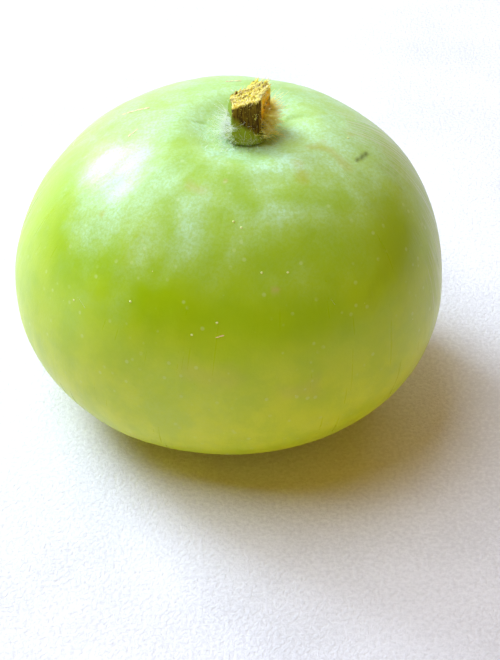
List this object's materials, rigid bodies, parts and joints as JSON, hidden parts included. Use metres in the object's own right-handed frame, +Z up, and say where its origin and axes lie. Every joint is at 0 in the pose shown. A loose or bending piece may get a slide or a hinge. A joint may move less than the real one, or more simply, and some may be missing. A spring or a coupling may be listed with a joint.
{
  "type": "round green squash",
  "caption": "Whole round green squash on a small flat spot: oblate smooth fruit with a leaning axis, a shallow hollow at the crown and a short cut ribbed stem with a slanting torn top.",
  "frame": {"origin": "middle of the object's box, on the plane of the flat spot that it rests on", "axes": "+Z up, from the flat spot to the stem; +X towards the side that the crown and stem lean to; -Y is the front"},
  "size_m": [0.0712, 0.0694, 0.058],
  "materials": {
    "skin": "satin",
    "stem": "matte"
  },
  "bodies": {
    "root": {"fruit": "skin", "stem": "stem"}
  },
  "joints": []
}
